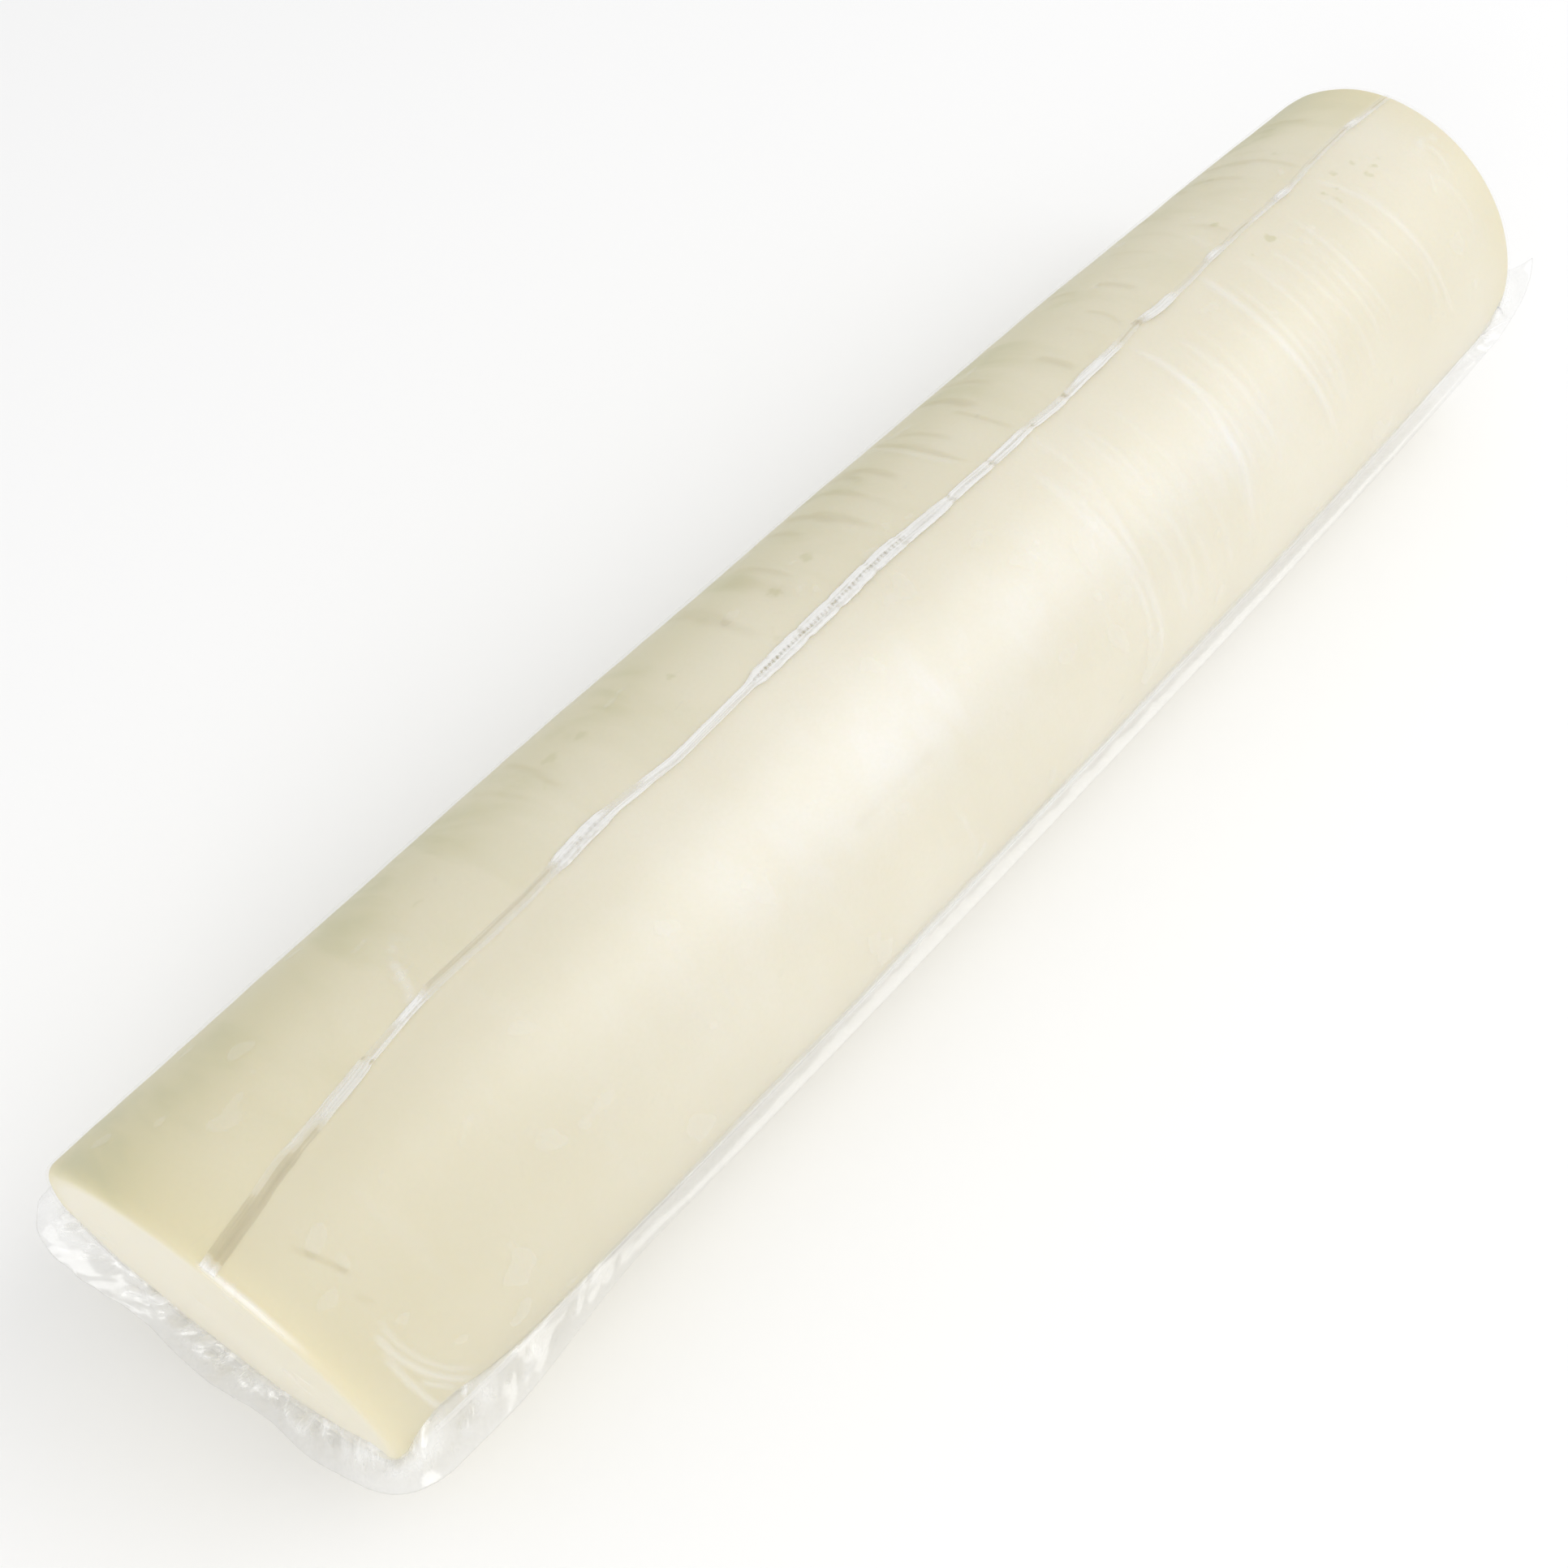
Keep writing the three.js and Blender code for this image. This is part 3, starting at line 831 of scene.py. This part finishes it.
def crumple(along, across, seed):
    """Height in millimetres and sharpness of crease of crumpled film, from crossed triangle waves."""
    draw = np.random.default_rng(seed)
    height = np.zeros(len(along))
    crease = np.zeros(len(along))
    for wave in range(FACET_WAVES):
        heading = draw.uniform(*FACET_HEADING)
        pitch = draw.uniform(*FACET_PITCH)
        ramp = (along * math.cos(heading) + across * math.sin(heading)) / pitch + draw.uniform(0, 1)
        ramp = 4 * np.abs(ramp - np.floor(ramp) - 0.5) - 1
        height += ramp * pitch * FACET_SLOPE
        if wave % 2 == 0:
            crease = np.maximum(crease, smooth(ramp, 0.86, 0.99))
    return height, crease


# %% [markdown]
# ## Shaping the edge
# The flange starts as a flat grid with one long side per sheet. Each of its points gets a place
# round the log and a place across the strip, and a few plain steps then shape it: the two sheets
# part near the log, the upper one climbs at the corners, and the crumple is added most where the
# film leaves the log. Painted glints go on sharp creases, and a painted highlight on the line where
# the film meets the cheese, over the shade in that corner.

# %% Shape of the edge
UPPER_OPENING = 4.5
END_OPENING = -2.5
NEAR_RIGHT_OPENING = -2.2
LOWEST_OUT = 0.3
LOWEST_FILM = 0.3
BOW = 1.4
FILM_THICKNESS = 0.12
GUSSETS = [
    # plan position of the corner, height that the upper sheet climbs there, reach
    (-258.5, 55.0, 22.0, 9.5), (-255.0, -50.0, 11.0, 20.0), (264.0, -50.0, 18.0, 8.0),
]
SLACK_PLACE = (-262, 20, 42, 18)
END_STRETCH = 30


def part_sheets(spot, plan_x, plan_y, across, at_end):
    """Lifts the upper sheet and lowers the lower one by the log, more so at the gussets."""
    near_right = (1 - smooth(plan_x, -200, -150)) * (plan_y < 0) * (1 - at_end)
    opening = UPPER_OPENING + END_OPENING * at_end + NEAR_RIGHT_OPENING * near_right
    spot[:, 2] += np.abs(across) ** 2.2 * np.sign(across) * opening
    upper = np.maximum(across, 0) ** 1.6
    for corner_x, corner_y, climb, reach in GUSSETS:
        gap = np.hypot(plan_x - corner_x, plan_y - corner_y)
        spot[:, 2] += climb * upper * hill(gap, reach)


def move_crumpled(spot, moved, at_end):
    """Moves the film up by its crumple, and a little outwards at the ends and sides."""
    spot[:, 2] += moved
    spot[:, 0] += 0.8 * moved * np.sign(spot[:, 0]) * at_end
    spot[:, 1] += 0.3 * moved * np.sign(spot[:, 1]) * (1 - at_end)


def root_line(across, at_end, wide_corner):
    """1 along the line where the upper sheet leaves the log, worked out from the strip's width."""
    reach = np.where(at_end > 0.5, END_SKIRT, SIDE_EDGE + (CORNER_EDGE - SIDE_EDGE) * wide_corner)
    leaves = (EDGE_ROOT / (EDGE_ROOT + reach) - LOWEST_OUT) / (1 - LOWEST_OUT)
    return hill(across - (1 - leaves) ** (1 / BOW), 0.06)


def root_glint(plan_x, plan_y, at_end, wide_corner, glints):
    """A painted highlight on that line, over the shade where the film meets the log: steady along the
    right side, and in glints round the near end.
    """
    middle_of_side = smooth(-np.abs(plan_x + 20), -95, -70)
    right_side = (plan_y < 0) * (1 - at_end) * (0.35 + 0.65 * middle_of_side)
    near_end = (at_end + 0.5 * wide_corner) * (plan_x < 0)
    return 0.5 * right_side + (0.25 + 0.7 * glints) * near_end


# %% Make the edge
def make_edge():
    mesh = grid("pouch_edge", EDGE_STEPS, EDGE_ROWS, 0.5)
    flat = points_of(mesh)
    across = 2 * flat[:, 1]
    plan_x, plan_y, walked = edge_plan(flat[:, 0] + 0.5)
    _, on_skirt, _ = edge_point(plan_x, plan_y, np.ones(len(across)))
    out = 1 - np.abs(across) ** BOW
    spot, _, ear = edge_point(plan_x, plan_y, LOWEST_OUT + (1 - LOWEST_OUT) * out)
    at_end = smooth(np.abs(plan_x), HALF_LENGTH - END_STRETCH, HALF_LENGTH)
    wide_corner = towards_wide_corner(plan_x, plan_y)
    part_sheets(spot, plan_x, plan_y, across, at_end)
    loose = np.clip(0.06 + 0.5 * wide_corner + 0.9 * on_skirt + 0.9 * at_end, 0, 1.1)
    loose *= 1 - 0.8 * smooth(ear, 0, 0.4)
    by_root = hill(np.abs(across) - 0.72, 0.2)
    held = 1 - smooth(np.abs(across), 0.86, 1.0)
    warp = np.array([noise.noise(Vector((s / 14.0, c * 1.3, 3.1))) for s, c in zip(walked, across)])
    height, crease = crumple(walked + 2.5 * warp, 13.0 * across + 3.0 * warp, 5)
    slack = around(plan_x, plan_y, SLACK_PLACE)
    move_crumpled(spot, height * loose * held * (0.15 + 0.35 * slack + 0.85 * by_root), at_end)
    points = (spot + AXIS_AT) * MM
    points[:, 2] = np.maximum(points[:, 2], LOWEST_FILM * MM)
    put_points(mesh, points)
    # Painted glints on sharp creases.
    sparkle = crease * smooth(warp, -0.15, 0.35) * loose * (0.06 + 0.94 * by_root)
    # Whiter where film gathers at the ends and wide corners, most by the root and on raised crumples:
    # partly denser film, partly painted light over its shade.
    gathered_and_lit = (at_end + wide_corner) * held * (0.04 + by_root * np.maximum(0.11 + 0.14 * height, 0))
    glints = smooth(np.sin(walked / 1.9 + 4.0 * warp) * np.sin(walked / 4.7 + 1.0), 0.45, 0.8)
    # A painted highlight along the film's root, over the shade where it meets the log.
    root = root_line(across, at_end, wide_corner)
    root *= root_glint(plan_x, plan_y, at_end, wide_corner, glints)
    mark(mesh, "tone", np.clip(0.9 * sparkle + gathered_and_lit + root, -1, 1))
    bm = bmesh.new()
    bm.from_mesh(mesh)
    bmesh.ops.remove_doubles(bm, verts=bm.verts, dist=1e-6)
    bmesh.ops.recalc_face_normals(bm, faces=bm.faces)
    bm.to_mesh(mesh)
    bm.free()
    return mesh


edge = finish_piece("pouch_edge", make_edge(), loose_film)
make_film_thick(edge, FILM_THICKNESS, offset=0)

# %% [markdown]
# ## The top seam
# The pouch's back seam runs along the crest. It is a folded strip a few millimetres wide that
# changes all the way: pressed flat and dark near one end, drawn into strands, crumpled and white
# further on, then a long stretch with crimping teeth, and short pieces towards the far end. Each
# kind of stretch has its own width and its own tones for the left, middle and right of the strip.
# Its white is partly painted highlight on the raised folds, and its brown partly painted shade.

# %% Kinds of seam
# White in the seam is partly painted highlight on raised folds; brown is doubled film, partly painted
# shade.
SEAM_KINDS = {
    # width, tone of the left, middle and right from brown -1 to white 1, crimping teeth
    "knot": (4.6, 0.95, 1.00, 0.95, 0.0),
    "pressed": (4.7, -0.24, -0.36, -0.30, 0.0),
    "striped": (4.6, 0.02, -0.18, -0.40, 0.0),
    "greyed": (4.0, 0.30, 0.14, -0.12, 0.0),
    "strands": (3.8, 0.35, 0.50, 0.45, 0.0),
    "knots": (2.8, 0.05, 0.10, 0.45, 0.0),
    "crumple": (2.6, 0.80, 0.85, 0.60, 0.3),
    "groove": (3.4, -0.08, 0.02, 0.16, 0.0),
    "flap": (4.8, 1.00, 0.70, 0.80, 0.3),
    "hole": (3.4, 0.10, 0.25, 0.70, 0.0),
    "cord": (2.9, 0.95, 0.65, 0.60, 0.0),
    "crimp": (5.3, 1.00, 0.65, 0.90, 1.0),
    "folded": (4.4, 0.85, 0.80, 0.90, 0.1),
    "plain": (3.4, 0.85, 0.60, 0.85, 0.1),
    "window": (3.0, -0.02, -0.12, 0.15, 0.0),
    "bright": (3.4, 0.75, 0.85, 0.70, 0.0),
    "glint": (3.0, 0.65, 0.88, 0.55, 0.0),
    "milky": (3.2, 0.30, 0.40, 0.70, 0.1),
    "faint": (2.6, -0.04, 0.14, 0.34, 0.0),
}
SEAM_PIECES = [
    # where each stretch starts along the log, and its kind
    (-262, "knot"), (-257.8, "pressed"), (-242, "striped"), (-229, "greyed"), (-220, "strands"),
    (-203, "knots"), (-193, "crumple"), (-184, "groove"), (-139, "flap"), (-121, "hole"),
    (-108, "cord"), (-66, "crimp"), (-3, "folded"), (14, "plain"), (50, "milky"), (76, "bright"),
    (90, "milky"), (98, "window"), (113, "bright"), (127, "faint"), (148, "glint"), (154, "faint"),
    (160, "window"), (172, "faint"), (187, "glint"), (193, "faint"), (208, "window"), (234, "glint"),
    (239, "faint"), (247, "window"),
]
SEAM_PINCHES = [-203, -46, -33, -17, -4, 17, 35, 54, 70, 110]
SEAM_BANDS = [-1.0, -0.92, -0.30, -0.20, 0.14, 0.26, 0.90, 1.0]
BLEND_REACH = 2.8
PINCH_REACH = 1.1
TOOTH_PITCH = 1.55
SEAM_THICKNESS = 0.1
SEAM_FROM = -259.4
SEAM_TO = 257.5
SEAM_STEPS = 1400
SEAM_ROWS = 20


# %% Make the seam
def seam_columns(place):
    """Width, the three tones and the teeth at each place, blended where one stretch meets the next."""
    columns = np.tile(SEAM_KINDS[SEAM_PIECES[0][1]], (len(place), 1))
    for start, kind in SEAM_PIECES[1:]:
        arrived = smooth(place, start - BLEND_REACH, start + BLEND_REACH)[:, None]
        columns = columns * (1 - arrived) + np.array(SEAM_KINDS[kind]) * arrived
    return columns.T


def across_bands(side, left, middle, right):
    """The tone at each side, from -1 to 1, with soft steps between the strip's three bands."""
    tones = [0 * left, left, left, middle, middle, right, right, 0 * right]
    tone = np.zeros(len(side))
    for low, high, before, after in zip(SEAM_BANDS, SEAM_BANDS[1:], tones, tones[1:]):
        inside = (side >= low) & (side <= high)
        share = (side - low) / (high - low)
        tone = np.where(inside, before * (1 - share) + after * share, tone)
    return tone


def unevenly(place, side, along, across, seed):
    """Noise on the flat strip, with streaks about this long along it and this many across it."""
    return np.array([noise.noise(Vector((s / along, v * across, seed))) for s, v in zip(place, side)])


def on_rim(place):
    """The share of the radius at which the strip lies, as it follows the rim down at both ends."""
    round_rim = np.clip((np.abs(place) - HALF_LENGTH) / RIM_RADIUS + 1, 0, 1)
    return 1 - RIM_RADIUS / HALF_WIDTH * (1 - np.sqrt(1 - round_rim**2))


def make_seam():
    mesh = grid("pouch_seam", SEAM_STEPS, SEAM_ROWS, 1.0)
    flat = points_of(mesh)
    place = SEAM_FROM + (SEAM_TO - SEAM_FROM) * (flat[:, 0] + 1) / 2
    side = flat[:, 1]
    width, left, middle, right, teeth = seam_columns(place)
    pinched = sum(hill(place - pinch, PINCH_REACH) for pinch in SEAM_PINCHES)
    width = width * (1 - 0.12 * pinched)
    wander = np.array([noise.noise(Vector((s / 9.0, 2.2, 0.4))) for s in place])
    frayed = np.array([noise.noise(Vector((s / 2.6, 5.0 + 0.8 * v, 0.4))) for s, v in zip(place, side)])
    strand = unevenly(place, side, 11.0, 4.5, 9.4)
    rough = unevenly(place, side, 1.6, 2.4, 3.7)
    offset = side * width / 2 * (1 + 0.05 * frayed) + 0.30 * wander
    turn = np.radians(seam_degrees(place)) + offset / SKIN_RADIUS
    comb = 0.5 + 0.5 * np.sin(2 * math.pi * (place + 0.8 * wander + 0.7 * side) / TOOTH_PITCH)
    between = np.exp(-(((side + 0.03) / 0.24) ** 4)) * teeth
    tone = across_bands(side + 0.12 * strand, left, middle, right)
    tone += 0.55 * strand * (0.10 + np.abs(tone))
    tone -= 0.45 * between * smooth(comb, 0.5, 0.85)
    tone -= pinched * (0.35 + 0.7 * rough) * (np.abs(side) < 0.9)
    tone += 0.30 * rough * (teeth > 0.2)
    fade = smooth(1 - np.abs(side), 0.0, 0.10)
    mark(mesh, "tone", np.clip(tone, -1, 1) * fade)
    border = hill(side + 0.62, 0.3) * np.maximum(left, 0)
    border += 0.7 * hill(side - 0.66, 0.22) * np.maximum(right, 0)
    lift = 0.08 + 0.09 * border + 0.05 * strand + 0.06 * between * comb + 0.06 * rough * np.abs(tone)
    lift = np.maximum(lift * (1 - np.abs(side) ** 6), 0.02)
    put_points(mesh, on_log(place, turn, on_rim(place), lift))
    return mesh


seam = finish_piece("pouch_seam", make_seam(), seam_film)
make_film_thick(seam, SEAM_THICKNESS, offset=-1)

# %% [markdown]
# ## Floor, light and camera
# A pale floor and one broad soft light from the far right, with a weak fill from the front, give
# the soft shading of a light tent: bright on the right, a broad sheen below the seam, and a darker
# left side. The cheese's colour adds painted shade and a painted sheen to this.

# %% Floor
FLOOR_SIZE = 6.0


def make_floor():
    material, tree, paint = new_material("pale_floor")
    paint.inputs["Base Color"].default_value = (0.95, 0.95, 0.95, 1)
    paint.inputs["Roughness"].default_value = 0.9
    mesh = grid("floor", 1, 1, FLOOR_SIZE / 2)
    floor = bpy.data.objects.new("floor", mesh)
    bpy.context.scene.collection.objects.link(floor)
    mesh.materials.append(material)


make_floor()
print("floor", FLOOR_SIZE, "m square")

# %% Lights
LOG_MIDDLE = Vector((0.0, 0.0, 0.055))


def soft_light(name, direction, distance, size, watts):
    light = bpy.data.lights.new(name, "AREA")
    light.shape = "RECTANGLE"
    light.size, light.size_y = size
    light.energy = watts
    lamp = bpy.data.objects.new(name, light)
    towards = Vector(direction).normalized()
    lamp.location = LOG_MIDDLE + towards * distance
    lamp.rotation_euler = towards.to_track_quat("Z", "Y").to_euler()
    bpy.context.scene.collection.objects.link(lamp)
    print(name, watts, "W")


soft_light("key", (0.45, -0.43, 0.78), distance=1.6, size=(1.2, 1.2), watts=8.2)
soft_light("front_fill", (-0.90, -0.30, 0.35), distance=1.8, size=(1.2, 0.8), watts=7)

world = bpy.data.worlds.new("studio")
bpy.context.scene.world = world
world.use_nodes = True
world.node_tree.nodes["Background"].inputs["Color"].default_value = (1, 1, 1, 1)
world.node_tree.nodes["Background"].inputs["Strength"].default_value = 0.78
bpy.context.scene.view_settings.view_transform = "Standard"

# %% Camera
CAMERA_AT = np.array([-286.10, -197.95, 433.47])
CAMERA_AIM = np.array([-58.07, -0.01, 0.91])
LENS = 43.2


def make_camera():
    data = bpy.data.cameras.new("camera")
    data.lens = LENS
    data.sensor_width = 36.0
    camera = bpy.data.objects.new("camera", data)
    place = Vector((CAMERA_AT + AXIS_AT) * MM)
    aim = Vector((CAMERA_AIM + AXIS_AT) * MM)
    camera.location = place
    camera.rotation_euler = (aim - place).to_track_quat("-Z", "Y").to_euler()
    bpy.context.scene.collection.objects.link(camera)
    bpy.context.scene.camera = camera
    print("camera", LENS, "mm, from", np.round(place, 3))


make_camera()
